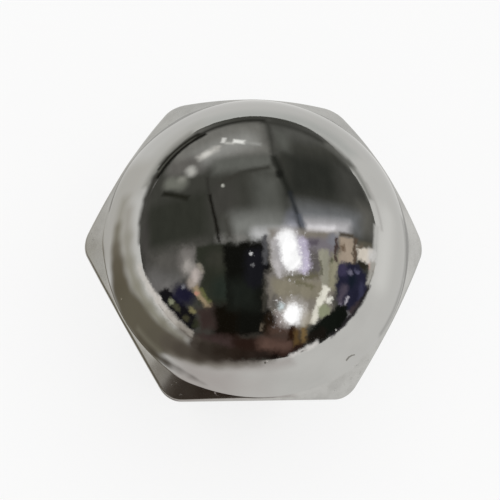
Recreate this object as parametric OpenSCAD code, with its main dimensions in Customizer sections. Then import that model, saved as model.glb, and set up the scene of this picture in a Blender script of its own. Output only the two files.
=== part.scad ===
// Closed-end conical-seat wheel nut: hexagon bar turned to a dome at one end and
// to a cone at the other, with a blind hole for the wheel stud.
// The nut stands on its open end, with its axis on +Z and two flats facing +Y and -Y.

/* [Hexagon] */
// Distance across the flats, which is the wrench size
across_flats = 19; // [17:0.5:24]
// Radius of the rounded corners of the hexagon
corner_r = 1.5; // [0.5:0.1:3]

/* [Dome] */
// Length from the open end to the crown of the dome
overall_l = 35; // [31:0.5:50]
// Rise of the dome above the circle where it meets the hexagon
dome_rise = 6.3; // [5:0.1:8]
// Distance from each flat in to the edge of the dome
dome_inset = 0.2; // [0.1:0.05:1]
// Slope of the turned corners beyond the dome, down from level
corner_slope = 46; // [25:1:60]

/* [Conical seat] */
// Included angle of the seat
seat_angle = 60; // [50:1:90]
// Wall between the thread and the outside of the seat at the open end
seat_wall = 1.4; // [1:0.1:2.5]
// Width of the chamfer round the outer edge of the open end
seat_edge = 0.4; // [0.2:0.05:0.5]

/* [Stud hole] */
// Nominal diameter of the stud thread
thread_d = 12; // [10:1:14]
// Pitch of the stud thread
thread_pitch = 1.5; // [1:0.25:1.75]
// Radial width by which the mouth chamfer is wider than the thread
mouth_clearance = 0.3; // [0.1:0.05:0.35]
// Thickness of the solid crown over the drill point
crown_wall = 6; // [4:0.25:8]
// Included angle of the drill point at the bottom of the hole
drill_point = 118; // [90:1:140]

/* [Smoothness] */
// Number of facets round the turned faces
facets = 144; // [48:6:240]

/* [Hidden] */
$fn = facets;

// hexagon
apothem = across_flats / 2;
corner_centre_r = (apothem - corner_r) / cos(30);
corner_reach = corner_centre_r + corner_r;
corner_steps = 8;

// dome
dome_edge_r = apothem - dome_inset;
dome_edge_z = overall_l - dome_rise;
dome_sphere_r = (dome_edge_r ^ 2 + dome_rise ^ 2) / (2 * dome_rise);
dome_centre_z = overall_l - dome_sphere_r;
dome_lap = 0.5;

// The bar is longer and the turned outline wider than the nut, so they share no face
bar_margin = 1;
turning_margin = 0.5;
turned_r = corner_reach + turning_margin;
corner_fall = (turned_r - dome_edge_r) * tan(corner_slope);
seat_end_r = thread_d / 2 + seat_wall;
seat_rise = (turned_r - seat_end_r) / tan(seat_angle / 2);

// stud hole, cut at the minor diameter of the internal thread
thread_height_share = 1.0825;
bore_r = (thread_d - thread_height_share * thread_pitch) / 2;
mouth_r = thread_d / 2 + mouth_clearance;
mouth_depth = mouth_r - bore_r;
drill_tip = bore_r / tan(drill_point / 2);
bore_depth = overall_l - crown_wall - drill_tip;
mouth_overcut = 1;

// Regular hexagon with rounded corners: one corner on +X, flats at the given apothem
module rounded_hexagon() {
    polygon([
        for (corner = [0:60:300], step = [0:corner_steps])
            let (direction = corner - 30 + 60 * step / corner_steps)
                corner_centre_r * [cos(corner), sin(corner)]
                    + corner_r * [cos(direction), sin(direction)]
    ]);
}

// Half outline of everything that is turned on the lathe, from the open end to the crown.
// The dome and the sloped corners run on into each other, so they cross cleanly at the dome's edge.
module turned_outline() {
    polygon([
        [0, 0],
        [seat_end_r - seat_edge, 0],
        [seat_end_r + seat_edge * tan(seat_angle / 2), seat_edge],
        [turned_r, seat_rise],
        [turned_r, dome_edge_z - corner_fall],
        [dome_edge_r - dome_lap, dome_edge_z + dome_lap * tan(corner_slope)],
        [0, dome_edge_z + dome_lap * tan(corner_slope)]
    ]);
    intersection() {
        translate([0, dome_centre_z])
            circle(r = dome_sphere_r);
        translate([0, dome_edge_z - dome_lap])
            square([dome_sphere_r, dome_rise + 2 * dome_lap]);
    }
}

// Half outline of the drilled and chamfered stud hole
module bore_outline() {
    polygon([
        [0, -mouth_overcut],
        [mouth_r + mouth_overcut, -mouth_overcut],
        [bore_r, mouth_depth],
        [bore_r, bore_depth],
        [0, bore_depth + drill_tip]
    ]);
}

module lug_nut() {
    color([0.74, 0.74, 0.73])
        difference() {
            intersection() {
                translate([0, 0, -bar_margin])
                    linear_extrude(height = overall_l + 2 * bar_margin)
                        rounded_hexagon();
                rotate_extrude()
                    turned_outline();
            }
            rotate_extrude()
                bore_outline();
        }
}

lug_nut();
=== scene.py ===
"""A closed-end wheel nut in mirror chrome, standing on its open end on a pale table.

The visible nut follows the CAD solid: the same dome, hexagon, seat and stud hole, with softly
broken edges and the helical thread that the solid leaves out.
"""

import math

import bpy
import numpy as np
from mathutils import Matrix, Vector


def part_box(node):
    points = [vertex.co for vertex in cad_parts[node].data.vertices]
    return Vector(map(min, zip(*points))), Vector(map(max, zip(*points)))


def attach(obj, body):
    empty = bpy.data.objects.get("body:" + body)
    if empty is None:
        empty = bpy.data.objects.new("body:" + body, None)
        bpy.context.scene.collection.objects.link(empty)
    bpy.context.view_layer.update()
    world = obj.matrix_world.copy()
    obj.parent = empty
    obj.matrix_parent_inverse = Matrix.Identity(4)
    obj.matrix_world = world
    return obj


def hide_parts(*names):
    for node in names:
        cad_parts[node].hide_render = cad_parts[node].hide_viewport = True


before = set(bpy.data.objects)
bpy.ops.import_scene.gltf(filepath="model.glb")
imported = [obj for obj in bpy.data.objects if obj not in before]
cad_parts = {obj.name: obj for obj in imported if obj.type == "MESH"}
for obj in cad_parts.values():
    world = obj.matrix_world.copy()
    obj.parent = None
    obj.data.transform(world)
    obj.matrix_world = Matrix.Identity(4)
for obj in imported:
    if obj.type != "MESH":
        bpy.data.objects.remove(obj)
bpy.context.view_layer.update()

MM = 0.001
nut_low, nut_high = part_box("lug_nut")

# Sizes of the nut in millimetres, as its solid has them
APOTHEM = (nut_high[1] - nut_low[1]) / MM / 2
OVERALL = (nut_high[2] - nut_low[2]) / MM
CORNER_R = 1.5
DOME_RISE = 6.3
DOME_INSET = 0.2
CORNER_SLOPE = math.radians(46)
SEAT_HALF_ANGLE = math.radians(30)
SEAT_END_R = 7.4
SEAT_EDGE = 0.4
THREAD_R = 6.0
PITCH = 1.5
BORE_R = 5.188
MOUTH_R = 6.3
MOUTH_CHAMFER = 0.2
RUN_OUT = 1.5
CROWN_WALL = 6.0
DRILL_HALF_ANGLE = math.radians(59)

DOME_EDGE_R = APOTHEM - DOME_INSET
DOME_EDGE_Z = OVERALL - DOME_RISE
DOME_SPHERE_R = (DOME_EDGE_R ** 2 + DOME_RISE ** 2) / (2 * DOME_RISE)
DOME_EDGE_ANGLE = math.asin(DOME_EDGE_R / DOME_SPHERE_R)
DRILL_TIP_Z = OVERALL - CROWN_WALL
BORE_TOP_Z = DRILL_TIP_Z - BORE_R / math.tan(DRILL_HALF_ANGLE)

# Edge breaks in millimetres, as radii, each limited to a share of the faces it joins
CORNER_EDGE_R = 0.70
CORNER_EDGE_SHARE = 0.75
SEAT_TOP_R = 0.40
END_EDGE_R = 0.25
END_SHARE = 0.45
# The blend at the crease has no radius of its own and takes the whole of its stretch
NO_LIMIT = 99.0

# The hollow where the dome meets a corner's slanted face is blended over this share of the face's
# length, plus this much more for each millimetre of it; it turns mostly on the face's side
BLEND_SHARE = 0.28
BLEND_GROWTH = 0.05
BLEND_LEAN = 0.14

# Fineness of the mesh
CORNER_COLUMNS = 10
FLAT_COLUMNS = 18
DOME_ROWS = 56
FILLET_ROWS = 8
THREAD_ROWS_PER_PITCH = 16
DRILL_ROWS = 6
# Straight stretches between two roundings: slanted face, side, seat, flat ring, mouth
STRETCH_ROWS = [4, 10, 8, 2, 3]


def hexagon_angles():
    """Angles of the mesh's columns: close together round the corners, wider on the flats."""
    centre_r = (APOTHEM - CORNER_R) / math.cos(math.pi / 6)
    angles = []
    for corner in range(6):
        turn = corner * math.pi / 3
        for step in range(CORNER_COLUMNS + 1):
            direction = -math.pi / 6 + step * math.pi / 3 / CORNER_COLUMNS
            x = centre_r + CORNER_R * math.cos(direction)
            y = CORNER_R * math.sin(direction)
            angles.append(turn + math.atan2(y, x))
        first = angles[-1]
        last = turn + math.pi / 3 - (first - turn)
        for step in range(1, FLAT_COLUMNS):
            angles.append(first + (last - first) * step / FLAT_COLUMNS)
    return np.array(angles)


def hexagon_radius(angle):
    """Distance from the axis to the rounded hexagon, at each angle."""
    centre_r = (APOTHEM - CORNER_R) / math.cos(math.pi / 6)
    off_corner = np.mod(angle + math.pi / 6, math.pi / 3) - math.pi / 6
    tangent = math.atan2(CORNER_R / 2, centre_r + CORNER_R * math.cos(math.pi / 6))
    flat = APOTHEM / np.cos(math.pi / 6 - np.abs(off_corner))
    across = centre_r * np.sin(off_corner)
    arc = centre_r * np.cos(off_corner) + np.sqrt(np.maximum(CORNER_R ** 2 - across ** 2, 0))
    return np.where(np.abs(off_corner) < tangent, arc, flat)


def filleted(corners, radii, shares, leans, spans):
    """Points and tangents along a polyline of half-section corners with each inner corner rounded.

    corners is (corner, column, 2); radii has one value for each inner corner; shares limits each
    rounding to a share of the stretches beside it; leans below 1 make a rounding end sooner than it
    begins; spans says into how many parts each straight stretch between two roundings is divided.
    """
    edges = corners[1:] - corners[:-1]
    lengths = np.linalg.norm(edges, axis=2, keepdims=True)
    along = edges / lengths
    starts, ends = [], []
    for i, radius in enumerate(radii):
        cosine = np.clip((along[i] * along[i + 1]).sum(axis=1, keepdims=True), -1, 1)
        reach = radius * np.tan(np.arccos(cosine) / 2)
        reach = np.minimum(reach, shares[i] * np.minimum(lengths[i], lengths[i + 1]))
        starts.append(corners[i + 1] - along[i] * reach)
        ends.append(corners[i + 1] + along[i + 1] * reach * leans[i])
    points, tangents = [], []
    for i in range(len(radii)):
        for step in range(FILLET_ROWS + 1):
            s = step / FILLET_ROWS
            corner = corners[i + 1]
            points.append((1 - s) ** 2 * starts[i] + 2 * s * (1 - s) * corner + s ** 2 * ends[i])
            tangents.append((1 - s) * along[i] + s * leans[i] * along[i + 1])
        if i + 1 < len(radii):
            for step in range(1, spans[i]):
                s = step / spans[i]
                points.append((1 - s) * ends[i] + s * starts[i + 1])
                tangents.append(along[i + 1])
    return np.array(points), np.array(tangents)


def thread_radius(angle, z):
    """Radius of the stud hole's wall, with its right-hand thread and chamfered mouth."""
    phase = np.mod(z / PITCH - angle / (2 * math.pi), 1.0)
    # distance from the middle of the groove, in pitches: root within 1/16, crest beyond 3/8
    off_groove = np.abs(phase - 0.5)
    cut = np.clip((3 / 8 - off_groove) / (3 / 8 - 1 / 16), 0, 1)
    # mostly straight flanks, with a share of smooth step to soften their ends
    cut = cut * cut * (3 - 2 * cut) * 0.35 + cut * 0.65
    run_out = np.clip((BORE_TOP_Z - RUN_OUT - z) / PITCH, 0, 1)
    groove = BORE_R + (THREAD_R - BORE_R) * cut * run_out
    return np.maximum(groove, MOUTH_R - z)


def section(angle):
    """Positions and tangents of the whole half-section at each angle, from crown to drill tip."""
    columns = len(angle)
    hexagon = hexagon_radius(angle)
    flat = np.full(columns, 1.0)

    def corner(radius, z):
        return np.stack([radius * flat, z * flat], axis=1)

    def on_dome(fall):
        return (corner(DOME_SPHERE_R * np.sin(fall), OVERALL - DOME_SPHERE_R * (1 - np.cos(fall))),
                corner(np.cos(fall), -np.sin(fall)))

    # the blend starts on the dome, and its middle lies where the dome's tangent meets the slanted face
    facet = (hexagon - DOME_EDGE_R) / math.cos(CORNER_SLOPE)
    last = DOME_EDGE_ANGLE - facet * (BLEND_SHARE + BLEND_GROWTH * facet) / DOME_SPHERE_R
    start, start_along = on_dome(last)
    gap = corner(DOME_EDGE_R, DOME_EDGE_Z) - start
    off_face = np.array([math.sin(CORNER_SLOPE), math.cos(CORNER_SLOPE)])
    reach = (gap @ off_face) / (start_along @ off_face)

    corners = np.array([
        start,
        start + start_along * reach[:, None],
        corner(hexagon, DOME_EDGE_Z - (hexagon - DOME_EDGE_R) * math.tan(CORNER_SLOPE)),
        corner(hexagon, (hexagon - SEAT_END_R) / math.tan(SEAT_HALF_ANGLE)),
        corner(SEAT_END_R + SEAT_EDGE * math.tan(SEAT_HALF_ANGLE), SEAT_EDGE),
        corner(SEAT_END_R - SEAT_EDGE, 0),
        corner(MOUTH_R, 0),
        corner(MOUTH_R - MOUTH_CHAMFER, MOUTH_CHAMFER),
    ])
    radii = [NO_LIMIT, CORNER_EDGE_R, SEAT_TOP_R] + 3 * [END_EDGE_R]
    shares = [1.0, CORNER_EDGE_SHARE] + 4 * [END_SHARE]
    leans = [BLEND_LEAN] + 5 * [1.0]
    shell, shell_along = filleted(corners, radii, shares, leans, STRETCH_ROWS)

    dome, dome_along = [], []
    for row in range(1, DOME_ROWS):
        place, along = on_dome(last * row / DOME_ROWS)
        dome.append(place)
        dome_along.append(along)

    bore, bore_along = [], []
    mouth_z = shell[-1][0, 1]
    rows = int(round((BORE_TOP_Z - mouth_z) / PITCH * THREAD_ROWS_PER_PITCH))
    step = (BORE_TOP_Z - mouth_z) / rows
    nudge = 0.01
    for row in range(1, rows + 1):
        z = mouth_z + row * step
        radius = thread_radius(angle, z)
        rise = (thread_radius(angle, z + nudge) - thread_radius(angle, z - nudge)) / (2 * nudge)
        bore.append(corner(radius, z))
        bore_along.append(corner(rise, 1.0))
    for row in range(1, DRILL_ROWS):
        s = row / DRILL_ROWS
        bore.append(corner(BORE_R * (1 - s), BORE_TOP_Z + (DRILL_TIP_Z - BORE_TOP_Z) * s))
        bore_along.append(corner(-math.sin(DRILL_HALF_ANGLE), math.cos(DRILL_HALF_ANGLE)))

    path = np.concatenate([np.array(dome), shell, np.array(bore)])
    along = np.concatenate([np.array(dome_along), shell_along, np.array(bore_along)])
    out = np.stack([np.cos(angle), np.sin(angle)], axis=1)
    positions = np.concatenate([path[..., :1] * out, path[..., 1:]], axis=2)
    tangents = np.concatenate([along[..., :1] * out, along[..., 1:]], axis=2)
    return positions, tangents


def nut_mesh():
    """The nut as one closed mesh, with normals taken from its formulas."""
    angle = hexagon_angles()
    positions, down = section(angle)
    nudge = 1e-4
    around = section(angle + nudge)[0] - section(angle - nudge)[0]
    normals = np.cross(down, around)
    normals /= np.linalg.norm(normals, axis=2, keepdims=True)
    rows, columns = positions.shape[:2]
    points = [(0, 0, OVERALL)] + [tuple(p) for p in positions.reshape(-1, 3)] + [(0, 0, DRILL_TIP_Z)]
    facing = [(0, 0, 1)] + [tuple(n) for n in normals.reshape(-1, 3)] + [(0, 0, -1)]
    crown, tip = 0, len(points) - 1

    def index(row, column):
        return 1 + row * columns + column % columns

    faces = []
    for column in range(columns):
        faces.append((crown, index(0, column), index(0, column + 1)))
        for row in range(rows - 1):
            faces.append((index(row, column), index(row + 1, column),
                          index(row + 1, column + 1), index(row, column + 1)))
        faces.append((index(rows - 1, column), tip, index(rows - 1, column + 1)))
    mesh = bpy.data.meshes.new("nut_visual")
    mesh.from_pydata((np.array(points) * MM).tolist(), [], faces)
    mesh.polygons.foreach_set("use_smooth", [True] * len(mesh.polygons))
    mesh.normals_split_custom_set_from_vertices(facing)
    mesh.validate()
    return mesh


class Graph:
    """Shader nodes written as formulas: a value may be a number, a colour or another node's output."""

    def __init__(self, tree):
        self.nodes = tree.nodes
        self.links = tree.links

    def feed(self, socket, value):
        if isinstance(value, bpy.types.NodeSocket):
            self.links.new(value, socket)
        else:
            socket.default_value = value

    def put(self, kind, inputs=None, **settings):
        node = self.nodes.new(kind)
        for name, value in settings.items():
            setattr(node, name, value)
        for name, value in (inputs or {}).items():
            self.feed(node.inputs[name], value)
        return node

    def math(self, operation, *values):
        node = self.put("ShaderNodeMath", operation=operation)
        for socket, value in zip(node.inputs, values):
            self.feed(socket, value)
        return node.outputs[0]

    def length(self, x, y):
        return self.math("SQRT", self.math("ADD", self.math("MULTIPLY", x, x),
                                           self.math("MULTIPLY", y, y)))

    def fade(self, value, start, end, low=0.0, high=1.0):
        """Smooth step: low where value is at start, high where it is at end."""
        node = self.put("ShaderNodeMapRange", interpolation_type="SMOOTHSTEP")
        for name, number in (("Value", value), ("From Min", start), ("From Max", end),
                             ("To Min", low), ("To Max", high)):
            self.feed(node.inputs[name], number)
        return node.outputs[0]

    def noise(self, place, scale, detail=2.0, roughness=0.5):
        return self.put("ShaderNodeTexNoise", {"Vector": place, "Scale": scale, "Detail": detail,
                                               "Roughness": roughness})

    def mix(self, factor, first, second):
        node = self.put("ShaderNodeMix", data_type="RGBA")
        self.feed(node.inputs[0], factor)
        self.feed(node.inputs[6], first)
        self.feed(node.inputs[7], second)
        return node.outputs[2]


def patch_group():
    """Node group: how much of a soft-edged, turned, rounded rectangle covers the place X, Y."""
    tree = bpy.data.node_groups.new("patch", "ShaderNodeTree")
    for name in ("X", "Y", "Centre X", "Centre Y", "Half Width", "Half Height", "Turn", "Round",
                 "Soft", "Share"):
        tree.interface.new_socket(name, in_out="INPUT", socket_type="NodeSocketFloat")
    tree.interface.new_socket("Cover", in_out="OUTPUT", socket_type="NodeSocketFloat")
    graph = Graph(tree)
    given = graph.put("NodeGroupInput").outputs
    dx = graph.math("SUBTRACT", given["X"], given["Centre X"])
    dy = graph.math("SUBTRACT", given["Y"], given["Centre Y"])
    cosine = graph.math("COSINE", given["Turn"])
    sine = graph.math("SINE", given["Turn"])
    along = graph.math("ABSOLUTE", graph.math("ADD", graph.math("MULTIPLY", dx, cosine),
                                              graph.math("MULTIPLY", dy, sine)))
    across = graph.math("ABSOLUTE", graph.math("SUBTRACT", graph.math("MULTIPLY", dy, cosine),
                                               graph.math("MULTIPLY", dx, sine)))
    past_x = graph.math("SUBTRACT", along, graph.math("SUBTRACT", given["Half Width"], given["Round"]))
    past_y = graph.math("SUBTRACT", across, graph.math("SUBTRACT", given["Half Height"], given["Round"]))
    out_x = graph.math("MAXIMUM", past_x, 0.0)
    out_y = graph.math("MAXIMUM", past_y, 0.0)
    outside = graph.length(out_x, out_y)
    inside = graph.math("MINIMUM", graph.math("MAXIMUM", past_x, past_y), 0.0)
    distance = graph.math("SUBTRACT", graph.math("ADD", outside, inside), given["Round"])
    cover = graph.fade(distance, given["Soft"], graph.math("MULTIPLY", given["Soft"], -1.0))
    result = graph.put("NodeGroupOutput")
    graph.links.new(graph.math("MULTIPLY", cover, given["Share"]), result.inputs["Cover"])
    return tree


def patch_cover(graph, group, x, y, centre, half, turn=0.0, round_by=0.0, soft=1.0, share=1.0):
    """One patch: centre, half sizes, corner radius and softness in the units of x and y."""
    node = graph.put("ShaderNodeGroup", node_tree=group)
    values = {"X": x, "Y": y, "Centre X": centre[0], "Centre Y": centre[1], "Half Width": half[0],
              "Half Height": half[1], "Turn": math.radians(turn), "Round": round_by, "Soft": soft,
              "Share": share}
    for name, value in values.items():
        graph.feed(node.inputs[name], value)
    return node.outputs["Cover"]


# Chrome: colours as light reflected head on, noise scales for places in metres, the ripple's height
# in millimetres
CHROME = (0.530, 0.527, 0.516)
CHROME_EDGE = 0.80
HAZED = 0.93
PITTED = (0.16, 0.15, 0.13, 1)
# brighter base colour, for the speckle on the corner faces and for the painted glints
SPECKLE_AND_PAINTED_GLINT = (0.90, 0.89, 0.87, 1)
HAZE_SCALE = 240.0
PIT_SCALE = 420.0
WORN_SCALE = 1100.0
SPECKLE_SCALE = 2600.0
RIPPLE_SCALES = (700.0, 2400.0)
RIPPLE_HEIGHT = 0.004
ROUGH = (0.02, 0.07)
# How much duller the slanted corner faces are, and how much more at a speckle
SATIN = 0.10
SPECKLE_SATIN = 0.18
FLAW_ROUGH = 0.25
# Marks on the dome's rim by their X, Y in millimetres: a hooked scratch, a pit, and painted glints, small
# bright dots that stand in for highlights
SCRATCH = ((4.86, -7.28, 0.065), (4.97, -7.14, 0.050), (5.16, -7.03, 0.035), (5.36, -6.99, 0.025))
PIT = (-0.04, -7.49, 0.05)
PAINTED_GLINTS = ((0.05, -7.42, 0.045), (3.82, -5.79, 0.055), (-2.68, -9.01, 0.06), (-8.10, -3.68, 0.05))
NOISE_MIDDLE = 0.5


def line_mask(graph, axes, start, end):
    """One along a line on the plate from start to end, seen from above; both are (x, y, half width)."""
    run = (end[0] - start[0], end[1] - start[1])
    square = run[0] ** 2 + run[1] ** 2
    x = graph.math("SUBTRACT", graph.math("DIVIDE", axes["X"], MM), start[0])
    y = graph.math("SUBTRACT", graph.math("DIVIDE", axes["Y"], MM), start[1])
    share = graph.math("ADD", graph.math("MULTIPLY", x, run[0] / square),
                       graph.math("MULTIPLY", y, run[1] / square))
    share = graph.math("MINIMUM", graph.math("MAXIMUM", share, 0.0), 1.0)
    off_x = graph.math("SUBTRACT", x, graph.math("MULTIPLY", share, run[0]))
    off_y = graph.math("SUBTRACT", y, graph.math("MULTIPLY", share, run[1]))
    width = (start[2] + end[2]) / 2
    return graph.fade(graph.length(off_x, off_y), 1.5 * width, 0.5 * width)


def upper_end(graph, axes):
    """One on the dome and the slanted faces, none on the sides below them."""
    return graph.fade(axes["Z"], (DOME_EDGE_Z - 2.0) * MM, (DOME_EDGE_Z - 1.4) * MM)


def marks_mask(graph, axes, lines):
    total = 0.0
    for start, end in lines:
        total = graph.math("MAXIMUM", total, line_mask(graph, axes, start, end))
    return graph.math("MULTIPLY", total, upper_end(graph, axes))


def chrome_plate():
    """Mirror chrome with haze, ripple and pin holes, duller corner faces, a scratch and a pit, and painted
    glints.
    """
    material = bpy.data.materials.new("chrome_plate")
    material.use_nodes = True
    graph = Graph(material.node_tree)
    shader = graph.nodes["Principled BSDF"]
    shader.inputs["Metallic"].default_value = 1.0
    shader.inputs["Specular Tint"].default_value = (CHROME_EDGE, CHROME_EDGE, CHROME_EDGE, 1)
    place = graph.put("ShaderNodeTexCoord").outputs["Object"]

    haze = graph.noise(place, HAZE_SCALE, 3.0).outputs["Fac"]
    hazy = graph.fade(haze, 0.42, 0.72)
    pits = graph.put("ShaderNodeTexVoronoi", {"Vector": place, "Scale": PIT_SCALE}).outputs
    lot = graph.put("ShaderNodeSeparateColor", {"Color": pits["Color"]}).outputs[0]
    rare = graph.fade(lot, 0.95, 0.96)
    pit = graph.math("MULTIPLY", graph.fade(pits["Distance"], 0.10, 0.04), rare)

    # the slanted faces at the corners are less polished and speckled
    axes = graph.put("ShaderNodeSeparateXYZ", {"Vector": place}).outputs
    across = graph.length(axes["X"], axes["Y"])
    beyond = graph.fade(across, (DOME_EDGE_R - 0.15) * MM, (DOME_EDGE_R + 0.25) * MM)
    satin = graph.math("MULTIPLY", beyond, upper_end(graph, axes))
    speckle = graph.fade(graph.noise(place, SPECKLE_SCALE, 3.0, 0.7).outputs["Fac"], 0.58, 0.72)
    worn = graph.fade(graph.noise(place, WORN_SCALE, 4.0, 0.65).outputs["Fac"], 0.42, 0.66)

    def point(x, y, half):
        return (x, y, half), (x + 0.01, y, half)

    dark = marks_mask(graph, axes, [*zip(SCRATCH[:-1], SCRATCH[1:]), point(*PIT)])
    # painted glints: small spots of brighter base colour that stand in for highlights
    bright = marks_mask(graph, axes, [point(*speck) for speck in PAINTED_GLINTS])

    tone = graph.mix(hazy, (*CHROME, 1), tuple(HAZED * c for c in CHROME) + (1,))
    tone = graph.mix(graph.math("MULTIPLY", pit, 0.7), tone, PITTED)
    tone = graph.mix(graph.math("MULTIPLY", satin, graph.math("MULTIPLY", worn, 0.14)), tone, PITTED)
    tone = graph.mix(graph.math("MULTIPLY", satin, graph.math("MULTIPLY", speckle, 0.12)), tone, SPECKLE_AND_PAINTED_GLINT)
    tone = graph.mix(graph.math("MULTIPLY", dark, 0.85), tone, PITTED)
    graph.feed(shader.inputs["Base Color"], graph.mix(bright, tone, SPECKLE_AND_PAINTED_GLINT))
    rough = graph.fade(haze, 0.35, 0.8, *ROUGH)
    satin_rough = graph.math("ADD", SATIN, graph.math("MULTIPLY", speckle, SPECKLE_SATIN))
    rough = graph.math("ADD", rough, graph.math("MULTIPLY", satin, satin_rough))
    flawed = graph.math("MAXIMUM", pit, graph.math("MAXIMUM", dark, bright))
    rough = graph.math("ADD", rough, graph.math("MULTIPLY", flawed, FLAW_ROUGH))
    graph.feed(shader.inputs["Roughness"], rough)

    coarse, fine = (graph.noise(place, scale, 2.0).outputs["Fac"] for scale in RIPPLE_SCALES)
    ripple = graph.math("ADD", coarse, graph.math("MULTIPLY", fine, 0.25))
    height = graph.math("SUBTRACT", ripple, graph.math("MULTIPLY", pit, 2.0))
    bump = graph.put("ShaderNodeBump", {"Height": height, "Distance": RIPPLE_HEIGHT * MM, "Strength": 1.0})
    graph.feed(shader.inputs["Normal"], bump.outputs["Normal"])
    return material


def tone_light(tone):
    """Radiance that the chrome shows as this tone, given as 0 to 255 in sRGB."""
    linear = []
    for value, mirror in zip(tone, CHROME):
        share = value / 255
        straight = share / 12.92 if share <= 0.04045 else ((share + 0.055) / 1.055) ** 2.4
        linear.append(straight / mirror)
    return (*linear, 1)


def box(centre, half, tone, turn=0.0, soft=2.0, round_by=0.0, share=1.0):
    shape = dict(centre=centre, half=half, turn=turn, round_by=round_by, soft=soft, share=share)
    return "flat", shape, tone


def spot(centre, half, tone, turn=0.0, soft=2.0, share=1.0):
    return box(centre, half, tone, turn, soft, min(half), share)


def strip(start, end, half_width, tone, soft=1.0, share=1.0, cap=0.0):
    """A straight strip; cap is the radius of the round ends that it may have beyond start and end."""
    dx, dy = end[0] - start[0], end[1] - start[1]
    centre = ((start[0] + end[0]) / 2, (start[1] + end[1]) / 2)
    half = (math.hypot(dx, dy) / 2 + cap, half_width)
    return box(centre, half, tone, math.degrees(math.atan2(dy, dx)), soft, cap, share)


# Near the horizon one degree round the compass is about this many degrees wide
COMPASS = 1.7


def arc(start, end, half_width, tone, soft=2.0, share=1.0, cap=0.0):
    """A strip that follows the horizon: its ends are (compass, zenith) in degrees."""
    ends = [(compass * COMPASS, zenith) for compass, zenith in (start, end)]
    return "round", strip(*ends, half_width, tone, soft, share, cap)[1], tone


def band(soft, *stations):
    """Arcs with round ends, joined up: each station is (compass, zenith, half width, tone)."""
    arcs = []
    for first, second in zip(stations, stations[1:]):
        half_width = (first[2] + second[2]) / 2
        tone = tuple((a + b) / 2 for a, b in zip(first[3], second[3]))
        arcs.append(arc(first[:2], second[:2], half_width, tone, soft, cap=half_width))
    return arcs


# How far the plating shakes the mirrored places, in degrees, and the fine share of it; how strongly
# it mottles their brightness; both grow from the far half to the near half and fade below the horizon
RAGGED_FAR = 1.2
RAGGED_NEAR = 7.0
RAGGED_FINE = 0.40
MOTTLE_FAR = 0.22
MOTTLE_NEAR = 0.30
FAR_FROM = 8.0
NEAR_FROM = -4.0
UNEVEN_ABOVE = 91.0
EVEN_BELOW = 100.0
BROAD_SCALE = 0.16
FINE_SCALE = 0.74
MOTTLE_STRETCH = 0.4


def mirror_places(graph, x, y, z):
    """Where a direction lies: flat and round places in degrees, and a mottled brightness.

    The far half is a little uneven and the near half is ragged, as thin plating breaks up small
    shapes; below the horizon it grows even.
    """
    flat = graph.length(x, y)
    zenith = graph.math("DEGREES", graph.math("ARCTAN2", flat, z))
    scale = graph.math("DIVIDE", zenith, graph.math("MAXIMUM", flat, 1e-6))
    right = graph.math("MULTIPLY", x, scale)
    far = graph.math("MULTIPLY", y, scale)
    place = graph.put("ShaderNodeCombineXYZ", {"X": right, "Y": far}).outputs[0]
    uneven = graph.fade(zenith, EVEN_BELOW, UNEVEN_ABOVE)
    near = graph.fade(far, FAR_FROM, NEAR_FROM)
    reach = graph.math("MULTIPLY", graph.fade(near, 0.0, 1.0, RAGGED_FAR, RAGGED_NEAR), uneven)
    broad = graph.noise(place, BROAD_SCALE, 3.0, 0.65).outputs["Color"]
    fine = graph.noise(place, FINE_SCALE, 2.0, 0.5).outputs["Color"]
    shake = graph.put("ShaderNodeSeparateXYZ", {"Vector": broad}).outputs
    quiver = graph.put("ShaderNodeSeparateXYZ", {"Vector": fine}).outputs
    shaken = []
    for name, true in (("X", right), ("Y", far)):
        broad_off = graph.math("SUBTRACT", shake[name], NOISE_MIDDLE)
        fine_off = graph.math("SUBTRACT", quiver[name], NOISE_MIDDLE)
        off = graph.math("ADD", broad_off, graph.math("MULTIPLY", fine_off, RAGGED_FINE))
        shaken.append(graph.math("ADD", true, graph.math("MULTIPLY", off, reach)))
    right, far = shaken
    # the compass runs from 0 at the right round to 360, so nothing it places may cross the right side
    compass = graph.math("ADD", 180.0, graph.math("DEGREES", graph.math(
        "ARCTAN2", graph.math("MULTIPLY", far, -1.0), graph.math("MULTIPLY", right, -1.0))))
    places = {"flat": (right, far),
              "round": (graph.math("MULTIPLY", compass, COMPASS), graph.length(right, far))}
    stretched = graph.math("MULTIPLY", far, MOTTLE_STRETCH)
    drawn = graph.put("ShaderNodeCombineXYZ", {"X": right, "Y": stretched}).outputs[0]
    mottle = graph.noise(drawn, BROAD_SCALE, 5.0, 0.6).outputs["Fac"]
    depth = graph.math("MULTIPLY", graph.fade(near, 0.0, 1.0, MOTTLE_FAR, MOTTLE_NEAR), uneven)
    swing = graph.math("MULTIPLY", graph.math("SUBTRACT", mottle, NOISE_MIDDLE), depth)
    return places, graph.math("ADD", 1.0, graph.math("MULTIPLY", swing, 2.0))


def painted(graph, group, places, ground, things):
    """Colour of a list of patches, back to front, over a ground tone."""
    colour = tone_light(ground)
    for space, shape, tone in things:
        x, y = places[space]
        cover = patch_cover(graph, group, x, y, **shape)
        colour = graph.mix(cover, colour, tone_light(tone))
    return colour
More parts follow.
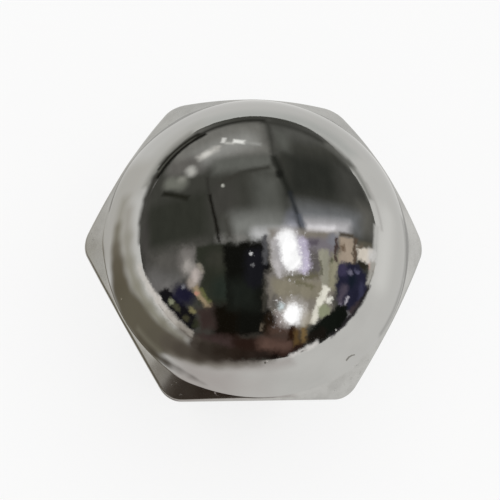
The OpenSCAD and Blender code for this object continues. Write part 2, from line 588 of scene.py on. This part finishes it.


# What the mirror sees, back to front. Flat places are degrees from straight up, +X to the right and
# +Y to the far side, so the horizon is 90 from the middle; round ones are degrees round the compass,
# from +X to the far side and on, and degrees from straight up. Tones are as the chrome shows them.
# The patches are simple shapes, given one by one, with places and tones read off the photograph
# where a thing shows in it. First the things along the horizon, which are partly table and partly room.
HORIZON_THINGS = [
    # pale things that stand up above the table's edge, right and lower left
    box((89.5, 8), (2.6, 14), (178, 177, 173), soft=2.0),
    box((87, -3), (4.0, 5), (194, 192, 189), soft=3),
    strip((88.5, -6), (86.5, -23), 2.4, (158, 156, 149), soft=2.2),
    arc((288, 90.6), (299, 90.2), 1.4, (196, 193, 189), soft=1.4),
    arc((298, 89.8), (305, 89.4), 2.4, (203, 200, 196), soft=1.4),
    *band(2.2, (186, 94.6, 1.8, (190, 186, 180)), (197, 91.6, 2.4, (192, 188, 182)),
          (206, 89.0, 2.8, (196, 191, 185)), (215, 88.4, 3.0, (186, 181, 174)),
          (224, 88.2, 3.0, (162, 157, 149)), (231, 87.8, 2.6, (146, 140, 131))),
    arc((225, 91.5), (237, 91), 2.6, (104, 98, 90), soft=4.5, share=0.85),
    # dark edge of the table at the lower right
    arc((312, 90.5), (345, 91.5), 1.6, (36, 34, 36), soft=1.6),
    # soft dark foot of the walls, round the far side
    arc((26, 93.5), (46, 95.5), 2.2, (128, 128, 123), soft=3.4),
    arc((42, 94), (60, 95), 3.4, (92, 92, 87), soft=4.0),
    arc((114, 104), (146, 99), 2.5, (136, 135, 129), soft=4.0),
    arc((112, 98), (134, 96.5), 3.6, (64, 64, 59), soft=2.6),
    *band(3.0, (130, 96, 3.6, (58, 58, 53)), (141, 94, 3.8, (56, 56, 51)),
          (152, 92.3, 3.4, (60, 59, 55)), (164, 91.0, 2.6, (66, 65, 61)), (174, 90.2, 1.8, (70, 69, 65))),
    arc((58, 94.2), (86, 96.2), 2.3, (58, 58, 54), soft=3.2),
    arc((84, 98.4), (116, 97.6), 1.8, (38, 38, 34), soft=2.6),
    arc((114, 97.4), (138, 95.3), 0.7, (86, 85, 78), soft=1.0),
    arc((110, 95.3), (141, 92.6), 1.5, (24, 24, 20), soft=1.3),
    arc((112, 98.6), (137, 97.2), 1.0, (34, 34, 29), soft=1.5),
    # painted shadow: a dark wedge at the near left, running out to the horizon
    *band(3.6, (237, 93, 6.6, (74, 68, 61)), (242, 92.5, 7.4, (56, 50, 44)),
          (249, 90.5, 6.8, (44, 38, 32))),
    *band(4.4, (249, 90.0, 5.6, (46, 40, 34)), (258, 87.5, 4.0, (38, 30, 24)),
          (267, 87, 2.8, (38, 30, 25)), (277, 85.5, 1.8, (44, 36, 32))),
]

TABLE_TONE = (0.975, 0.975, 0.972)
TABLE_GLOW = 0.70
# The table as the mirror sees it; its places are taken from a point this high above its middle
TABLE_EYE = 0.033
TABLE_REFLECTED = (184, 183, 179)
# Painted light and shade on the table, which mirror rays alone see
TABLE_PAINTED_LIGHT_AND_SHADE = [
    # painted light and shade: brighter towards the right, a little dimmer at the far, left and near sides
    spot((100, 8), (9, 34), (197, 196, 192), soft=9),
    arc((12, 98), (34, 98), 1.0, (170, 168, 164), soft=2.4),
    arc((46, 106), (112, 107), 6, (171, 172, 168), soft=7),
    arc((108, 107), (150, 106), 7, (172, 171, 166), soft=8),
    arc((134, 122), (178, 124), 16, (170, 168, 162), soft=8),
    arc((234, 122), (280, 117), 15, (173, 170, 166), soft=20),
    arc((234, 122), (262, 118), 14, (163, 158, 154), soft=16),
    arc((284, 122), (305, 120), 10, (179, 178, 174), soft=8),
    # painted shade on the table, which dims the dome next to the crease, right and lower left
    arc((0, 134.5), (22, 134.5), 2.2, (156, 155, 151), soft=3.0),
    arc((336, 134.5), (360, 134.5), 2.2, (156, 155, 151), soft=3.0),
    arc((245, 99), (290, 95), 5, (166, 162, 158), soft=5),
    # painted shade: a dim stretch at the left
    *band(6.0, (158, 108, 4.5, (160, 157, 150)), (170, 105, 5, (150, 147, 138)),
          (182, 104, 5, (142, 139, 129)), (194, 102.5, 5, (136, 133, 121)),
          (206, 100.5, 4.5, (134, 131, 118)), (217, 98.5, 4, (128, 125, 112)),
          (229, 96.5, 3.5, (118, 114, 102))),
    # painted shadow: a dark band that runs from the left into the wedge at the near left
    arc((151, 117), (168, 117.5), 3.5, (146, 143, 133), soft=7),
    *band(5.5, (164, 117.5, 2.5, (124, 120, 107)), (173, 118.5, 5, (112, 107, 95)),
          (181, 118.5, 7.5, (96, 90, 78)), (190, 121, 10.5, (88, 82, 69)),
          (200, 121, 13, (90, 85, 71)), (209, 119, 14.5, (92, 87, 74))),
    *band(4.0, (204, 118, 14, (92, 87, 74)), (213, 117.5, 14.5, (92, 87, 74)),
          (219, 114, 12, (90, 85, 73)), (225, 109, 8.5, (88, 83, 72)),
          (230, 106, 7.5, (86, 80, 71))),
    *band(6.0, (230, 109.5, 7, (124, 118, 108)), (240, 103, 7.5, (118, 112, 103)),
          (250, 98, 7.5, (116, 110, 102)), (260, 92.5, 7.0, (114, 108, 101)),
          (270, 90, 6.0, (112, 107, 101)), (278, 88, 3.5, (110, 105, 100))),
    *band(5.0, (226, 108.5, 7.6, (86, 80, 70)), (232, 105.5, 7.2, (80, 74, 66)),
          (241, 101, 6.5, (68, 62, 55)), (250, 94.5, 5.5, (56, 49, 43)),
          (260, 88.5, 5.0, (42, 34, 29)), (270, 86.5, 4.4, (40, 32, 28)), (278, 85, 2.5, (44, 36, 32))),
    # painted shade that darkens the dome just inside the crease at the lower left
    *band(5.0, (213, 128.5, 3.6, (88, 82, 70)), (221, 128.2, 4.4, (77, 72, 60)),
          (229, 129.0, 4.4, (70, 65, 57)), (236, 129.6, 4.6, (60, 55, 48)),
          (242, 130.2, 4.4, (58, 53, 47)), (247, 132.0, 3.6, (84, 78, 72))),
    arc((209, 124), (224, 122), 2.0, (112, 108, 95), soft=4.0, share=0.8),
]


def table_top(group):
    """Pale table top; what the camera sees of it is mostly its own even white, and what the mirror sees is
    a pale tone with painted light and shade.
    """
    material = bpy.data.materials.new("table_top")
    material.use_nodes = True
    graph = Graph(material.node_tree)
    shader = graph.nodes["Principled BSDF"]
    shader.inputs["Base Color"].default_value = (*TABLE_TONE, 1)
    shader.inputs["Roughness"].default_value = 0.8
    shader.inputs["Specular IOR Level"].default_value = 0.0
    place = graph.put("ShaderNodeTexCoord").outputs["Object"]
    axes = graph.put("ShaderNodeSeparateXYZ", {"Vector": place}).outputs
    places = mirror_places(graph, axes["X"], axes["Y"], -TABLE_EYE)[0]
    mirrored = painted(graph, group, places, TABLE_REFLECTED, TABLE_PAINTED_LIGHT_AND_SHADE + HORIZON_THINGS)
    paths = graph.put("ShaderNodeLightPath").outputs
    even = graph.put("ShaderNodeEmission", {"Color": (1, 1, 1, 1), "Strength": 1.0})
    to_camera = graph.math("MULTIPLY", paths["Is Camera Ray"], TABLE_GLOW)
    plain = graph.put("ShaderNodeMixShader", {0: to_camera, 1: shader.outputs[0], 2: even.outputs[0]})
    shown = graph.put("ShaderNodeEmission", {"Color": mirrored, "Strength": 1.0})
    # the mirror's view, with its painted light and shade, is mixed in last, so that it is worked out for
    # mirror rays alone
    mixed = graph.put("ShaderNodeMixShader", {0: paths["Is Glossy Ray"], 1: plain.outputs[0],
                                              2: shown.outputs[0]})
    graph.feed(graph.nodes["Material Output"].inputs["Surface"], mixed.outputs[0])
    return material


# The table's edge in metres, with the notch that makes the dark gap at its far side in the mirror
TABLE_OUTLINE = [(-1.6, -1.6), (1.6, -1.6), (1.6, 1.34), (0.060, 0.145), (-0.055, 0.125), (-1.6, 1.34)]


def table(group):
    mesh = bpy.data.meshes.new("table")
    mesh.from_pydata([(x, y, 0) for x, y in TABLE_OUTLINE], [], [tuple(range(len(TABLE_OUTLINE)))])
    mesh.materials.append(table_top(group))
    floor = bpy.data.objects.new("table", mesh)
    bpy.context.collection.objects.link(floor)


# Light on pale surfaces: a wide overhead lamp, sizes in metres, and an even white world
LAMP_POWER = 2.6
LAMP_WIDTH = 0.8
LAMP_HEIGHT = 0.7
AMBIENT = 0.50


def overhead_light():
    light = bpy.data.lights.new("overhead", "AREA")
    light.shape = "DISK"
    light.size = LAMP_WIDTH
    light.energy = LAMP_POWER
    lamp = bpy.data.objects.new("overhead", light)
    lamp.location = (0, 0, LAMP_HEIGHT)
    lamp.visible_glossy = False
    bpy.context.collection.objects.link(lamp)


# What the mirror sees above the table
ROOM_TONE = (60, 60, 55)
ROOM = [
    # far half: ceiling, upper walls and the glow over the near half
    box((-26, 78), (36, 18), (112, 111, 106), soft=8),
    spot((-23, 69), (24, 7), (146, 146, 142), turn=20, soft=9, share=0.85),
    box((38, 85), (30, 9), (78, 78, 74), soft=8),
    box((19, 74), (4, 10), (86, 87, 82), soft=5),
    box((-10, 54), (20, 6), (93, 94, 89), soft=5),
    box((-50, 60), (12, 8), (94, 92, 88), soft=6),
    spot((-58, 47), (9, 5), (106, 107, 99), turn=-20, soft=4),
    box((-62, 10), (26, 24), (48, 49, 43), soft=6),
    box((-86, 10), (4, 30), (66, 64, 61), soft=5),
    spot((-24, 26), (8, 12), (63, 62, 58), soft=6),
    box((6, 28), (9, 16), (86, 87, 82), soft=8),
    box((46, 46), (28, 17), (43, 44, 40), soft=10),
    box((66, 40), (10, 20), (64, 64, 60), soft=8),
    box((80, 22), (8, 12), (88, 87, 82), soft=8),
    box((48, 17), (24, 6), (112, 114, 116), soft=9),
    box((47, 9.5), (17, 4.5), (186, 184, 186), turn=5, soft=6),
    box((41, 6.0), (11, 2.4), (246, 243, 246), turn=7, soft=3.4),
    spot((-2, 8), (20, 8), (120, 121, 117), soft=8),
    spot((10, 1.5), (16, 4.0), (184, 184, 184), soft=5),
    spot((-20, -1), (10, 2.6), (120, 119, 115), soft=4),
    spot((22, 8), (5, 6), (146, 147, 155), soft=5),
    spot((22, 15), (4, 4), (98, 100, 106), soft=4),
    # frames and edges between the walls
    strip((-34, 32), (-28, -3), 1.0, (20, 19, 15), soft=1.3),
    strip((-24, 14), (-21, -2), 2.6, (64, 63, 58), soft=4.0),
    strip((-35, 46), (-34, 32), 0.8, (48, 47, 43), soft=1.6),
    strip((11, 94), (11, 52), 1.4, (58, 58, 54), soft=2.6),
    strip((11, 60), (20, 30), 2.0, (36, 37, 33), soft=2.4),
    spot((14, 45), (2.4, 3.0), (28, 29, 26), soft=2.0),
    strip((20, 32), (28, 4), 1.3, (38, 41, 44), soft=2.0),
    strip((26, 16), (30, 5), 1.4, (84, 88, 96), soft=2.0),
    strip((-27, 39), (-12, 46), 1.3, (58, 57, 52), soft=1.8),
    strip((-12, 46), (8, 50.5), 1.6, (56, 56, 51), soft=2.2),
    strip((-68, 42), (-49, 32), 1.8, (33, 33, 27), soft=2.0),
    # small lights on the far side
    strip((-22.5, 75), (-20.5, 80), 1.3, (205, 204, 199), soft=1.2),
    strip((-20.5, 74.5), (-15, 73), 1.0, (180, 179, 174), soft=1.4),
    strip((-15, 75.5), (-7, 73.4), 1.9, (226, 226, 221), soft=1.3),
    strip((-7, 73), (3, 70.5), 1.1, (150, 150, 146), soft=2.0),
    strip((-40, 64), (-27, 70.5), 2.0, (186, 184, 178), soft=3.4),
    spot((-34, 67), (3.0, 2.0), (205, 203, 197), turn=25, soft=2.4),
    spot((-26, 71.5), (2.2, 1.4), (170, 168, 162), turn=25, soft=1.4),
    spot((-46, 54), (3.2, 4.4), (172, 171, 165), turn=15, soft=3.0),
    spot((-53, 49), (3.0, 2.4), (128, 128, 120), soft=2.6),
    spot((-24.6, 37.5), (1.1, 1.3), (170, 170, 162), soft=0.8),
    # near half, left: a pale wall over dark things
    box((-60, -12), (22, 10), (82, 80, 76), soft=8),
    box((-74, -28), (14, 8), (104, 102, 100), turn=-20, soft=8),
    spot((-51, -15), (6, 10), (122, 118, 114), soft=6),
    spot((-65, -50), (21, 9), (20, 19, 21), turn=-50, soft=1.8),
    spot((-57, -38), (9, 7), (28, 27, 44), turn=-30, soft=4),
    spot((-68, -42), (2.6, 2.2), (124, 126, 104), soft=1.8),
    spot((-64, -47), (2.0, 3.4), (66, 66, 50), turn=40, soft=1.8),
    spot((-57, -32.5), (1.6, 2.0), (118, 118, 124), soft=1.4),
    spot((-51, -50.5), (3.2, 1.9), (116, 110, 78), turn=-30, soft=1.8),
    spot((-57, -56), (3.0, 2.0), (62, 60, 44), turn=-40, soft=2.0),
    spot((-49, -61), (2.4, 4.0), (44, 46, 34), turn=-30, soft=1.8),
    # near half, middle: a dark upright block, paler things at its left edge
    box((-33, -25), (12.5, 21), (44, 46, 38), soft=1.8),
    spot((-30, -14), (8, 6), (54, 54, 47), soft=5),
    spot((-27, -36), (8, 9), (38, 44, 38), soft=6),
    box((-8, -37), (16, 33), (16, 16, 13), turn=4, soft=2.2),
    box((-26, -60), (10, 14), (17, 14, 9), soft=4),
    box((-12, -40), (10, 10), (28, 31, 27), soft=7),
    spot((-4, -22), (7, 14), (24, 24, 28), soft=4),
    spot((7, -31), (2.6, 7), (60, 56, 50), soft=3),
    spot((-46.5, -25), (3.4, 6.0), (184, 174, 168), turn=-12, soft=3.4),
    spot((-50, -31), (3.0, 3.0), (160, 150, 142), soft=3.0),
    strip((-48, -33), (-38, -49), 2.2, (146, 130, 104), soft=1.8),
    strip((-44, -34), (-37, -45), 1.0, (96, 98, 62), soft=1.6),
    strip((-44, -17), (-41.5, -23), 0.8, (140, 134, 122), soft=1.4),
    spot((-52, -17), (3.4, 4), (158, 153, 148), soft=3.4),
    spot((-46, -38), (1.6, 1.6), (176, 130, 112), soft=1.2),
    box((-40, -57), (6, 8), (56, 45, 42), turn=8, soft=4),
    spot((-6.8, -12), (0.7, 1.5), (190, 190, 190), soft=0.8),
    spot((3.0, -9), (1.8, 10), (78, 78, 80), soft=1.8),
    spot((3.2, -40), (1.6, 12), (58, 56, 50), soft=2.0),
    spot((-5.5, -20), (0.8, 1.2), (100, 100, 102), soft=0.9),
    spot((2.5, -64), (1.2, 2.6), (92, 84, 72), soft=1.2),
    # near half, right of the block: pale clutter
    box((31, -24), (24, 30), (124, 118, 109), turn=3, soft=3),
    box((11, -14), (4.0, 12), (158, 155, 154), turn=8, soft=2.6),
    box((10, -36), (5, 12), (112, 107, 102), turn=8, soft=3.0),
    box((38, -5.5), (16, 6), (116, 111, 116), turn=6, soft=2.5),
    spot((36, -2.5), (4, 2.4), (90, 84, 92), soft=2.0),
    spot((38, -17), (5, 9), (92, 88, 86), soft=3),
    box((56, -20), (5, 12), (128, 124, 106), turn=4, soft=3),
    box((28, -35), (20, 6), (130, 124, 108), soft=4),
    strip((18, -27), (42, -25), 2.0, (98, 94, 76), soft=2),
    strip((24, -30), (38, -33), 1.4, (106, 102, 82), soft=1.6),
    strip((44, -7), (48, -30), 3.4, (144, 142, 127), soft=1.8),
    strip((51, -12), (52, -30), 0.9, (84, 86, 66), soft=0.9),
    strip((42, -14), (44, -24), 0.8, (100, 98, 84), soft=0.9),
    spot((54, -24), (4, 9), (138, 134, 114), soft=2),
    strip((49, -31), (41, -59), 3.0, (216, 213, 200), soft=1.4),
    spot((53, -41), (3.2, 1.8), (222, 220, 210), turn=15, soft=1.3),
    spot((50, -49), (5, 5), (136, 140, 114), turn=25, soft=2),
    box((17, -57), (5, 6), (112, 101, 97), soft=3.0),
    spot((8, -62), (4, 9), (34, 26, 18), soft=3.0),
    spot((20, -66), (12, 4), (74, 58, 50), soft=3.5),
    spot((35, -56), (5, 6), (150, 143, 128), soft=3.0),
    # two bright lamps, with coloured fringes
    spot((29, -12), (4.5, 12), (188, 180, 202), turn=12, soft=3.0),
    spot((20, -9), (7.5, 15), (196, 194, 198), turn=14, soft=5.0, share=0.8),
    spot((19.5, -9), (6, 14), (255, 255, 255), turn=14, soft=2.4),
    spot((12, -22), (2, 6), (180, 176, 176), turn=14, soft=2.0),
    spot((25, -53), (10, 10), (196, 192, 188), soft=5.0, share=0.8),
    spot((25, -53), (6.5, 7.5), (255, 255, 255), turn=-20, soft=2.2),
    spot((15, -47.5), (2.4, 2.2), (196, 208, 210), turn=-10, soft=2.2),
    spot((10, -44), (2.2, 6), (92, 88, 82), soft=2.6),
    # near half, right end: boxes over blue and black cloth
    spot((51, 1), (4, 5), (120, 120, 126), soft=2.4),
    strip((54, 3), (54, -13), 1.0, (64, 52, 48), soft=1.0),
    box((62.5, -4), (6, 9), (158, 144, 128), turn=4, soft=1.8),
    spot((59, -3), (2.0, 3.0), (104, 88, 72), soft=1.8),
    strip((56, 6), (68, 7), 1.4, (74, 68, 58), soft=1.4),
    strip((70, 6), (70, -12), 1.6, (84, 72, 60), soft=1.4),
    box((80, -4), (8, 6.0), (202, 194, 182), turn=8, soft=1.8),
    strip((72, 3), (86, 5), 1.8, (84, 81, 71), soft=1.6),
    strip((71, -1), (77, 3), 0.9, (96, 88, 76), soft=1.0),
    spot((87, -8), (2.8, 5), (168, 138, 126), soft=2.0),
    spot((78, -11), (5, 2.4), (42, 40, 32), soft=1.8),
    spot((72, -30), (15, 18), (34, 34, 50), turn=20, soft=2.4),
    spot((60, -18), (4, 5), (58, 54, 76), soft=2.0),
    spot((63, -35), (2.6, 7), (78, 71, 82), turn=-15, soft=3.0),
    spot((70, -24), (4, 5), (24, 30, 40), soft=3.0),
    spot((81, -30), (3, 7), (52, 52, 72), turn=10, soft=2.5),
    strip((66, -44), (69, -36), 1.0, (168, 164, 172), soft=1.2),
    strip((62, -42), (66, -46), 1.0, (132, 126, 140), soft=1.2),
    spot((67, -19), (2.4, 1.6), (104, 102, 118), soft=1.6),
    spot((74, -17), (2.0, 1.2), (84, 84, 104), soft=1.4),
    strip((84, -38), (72, -49), 2.6, (62, 54, 56), soft=2.0),
    strip((71, -46), (74, -50), 0.9, (140, 138, 138), soft=1.0),
    spot((57, -59), (20, 8), (17, 20, 16), turn=46, soft=1.8),
    spot((48, -68), (9, 5), (24, 21, 17), turn=30, soft=2.5),
    # near half: brown things along the horizon
    box((-6, -80), (46, 9), (38, 26, 21), soft=4),
    spot((-34, -76), (14, 5), (60, 48, 46), turn=-10, soft=5),
    spot((14, -77), (14, 5.5), (88, 68, 60), soft=5),
    spot((-8, -87), (26, 2.0), (16, 11, 8), soft=2.0),
    strip((28, -62), (32, -76), 2.4, (88, 69, 42), soft=2.0),
    strip((35, -62), (38, -74), 2.0, (112, 92, 60), soft=1.8),
    spot((26, -67), (2.8, 5.5), (40, 25, 15), soft=1.8),
]
GLINT_TONE = (246, 244, 246)
GLINT_SCALE = 0.42


def glints(graph, group, x, y):
    """Share of small bright sparks in the pale clutter round the two lamps."""
    place = graph.put("ShaderNodeCombineXYZ", {"X": x, "Y": y}).outputs[0]
    sparks = graph.fade(graph.noise(place, GLINT_SCALE, 3.0, 0.6).outputs["Fac"], 0.58, 0.68)
    upper = patch_cover(graph, group, x, y, (24, -12), (11, 17), turn=12, round_by=10, soft=6, share=0.9)
    lower = patch_cover(graph, group, x, y, (21, -52), (12, 11), round_by=10, soft=6, share=0.9)
    return graph.math("MULTIPLY", sparks, graph.math("MAXIMUM", upper, lower))


def room(group):
    """The world: white to the camera, soft white to pale surfaces, a dim painted room to mirrors."""
    world = bpy.data.worlds.new("room")
    bpy.context.scene.world = world
    world.use_nodes = True
    graph = Graph(world.node_tree)
    graph.nodes.clear()
    paths = graph.put("ShaderNodeLightPath").outputs
    white = graph.put("ShaderNodeBackground", {"Color": (1, 1, 1, 1), "Strength": 1.0})
    ambient = graph.put("ShaderNodeBackground", {"Color": (1, 1, 1, 1), "Strength": AMBIENT})
    direction = graph.put("ShaderNodeTexCoord").outputs["Generated"]
    axes = graph.put("ShaderNodeSeparateXYZ", {"Vector": direction}).outputs
    places, mottle = mirror_places(graph, axes["X"], axes["Y"], axes["Z"])
    colour = painted(graph, group, places, ROOM_TONE, ROOM + HORIZON_THINGS)
    colour = graph.mix(glints(graph, group, *places["flat"]), colour, tone_light(GLINT_TONE))
    mirrored = graph.put("ShaderNodeBackground", {"Color": colour, "Strength": mottle})
    lit = graph.put("ShaderNodeMixShader", {0: paths["Is Glossy Ray"], 1: ambient.outputs[0],
                                            2: mirrored.outputs[0]})
    seen = graph.put("ShaderNodeMixShader", {0: paths["Is Camera Ray"], 1: lit.outputs[0],
                                             2: white.outputs[0]})
    graph.put("ShaderNodeOutputWorld", {"Surface": seen.outputs[0]})


# The camera looks down on the dome from close by
CAMERA_DISTANCE = 41.38 * MM
CAMERA_ELEVATION = math.radians(75.77)
CAMERA_HEADING = math.radians(-20.93)
CAMERA_ROLL = math.radians(20.67)
CAMERA_LENS = 48.74
CAMERA_SHIFT = (-0.0182, -0.0178)
SENSOR_WIDTH = 36


def photo_camera():
    data = bpy.data.cameras.new("camera")
    data.lens = CAMERA_LENS
    data.sensor_width = SENSOR_WIDTH
    data.clip_start = MM
    data.shift_x, data.shift_y = CAMERA_SHIFT
    camera = bpy.data.objects.new("camera", data)
    turned = (Matrix.Rotation(CAMERA_HEADING, 4, "Z")
              @ Matrix.Rotation(math.pi / 2 - CAMERA_ELEVATION, 4, "X")
              @ Matrix.Rotation(CAMERA_ROLL, 4, "Z"))
    back = turned.to_3x3() @ Vector((0, 0, 1))
    aim = Vector((0, 0, DOME_EDGE_Z * MM))
    camera.matrix_world = Matrix.Translation(aim + back * CAMERA_DISTANCE) @ turned
    bpy.context.collection.objects.link(camera)
    bpy.context.scene.camera = camera


nut = bpy.data.objects.new("nut", nut_mesh())
nut.data.materials.append(chrome_plate())
bpy.context.collection.objects.link(nut)
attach(nut, "root")
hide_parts("lug_nut")
soft_patch = patch_group()
table(soft_patch)
overhead_light()
room(soft_patch)
photo_camera()
bpy.context.scene.view_settings.view_transform = "Standard"
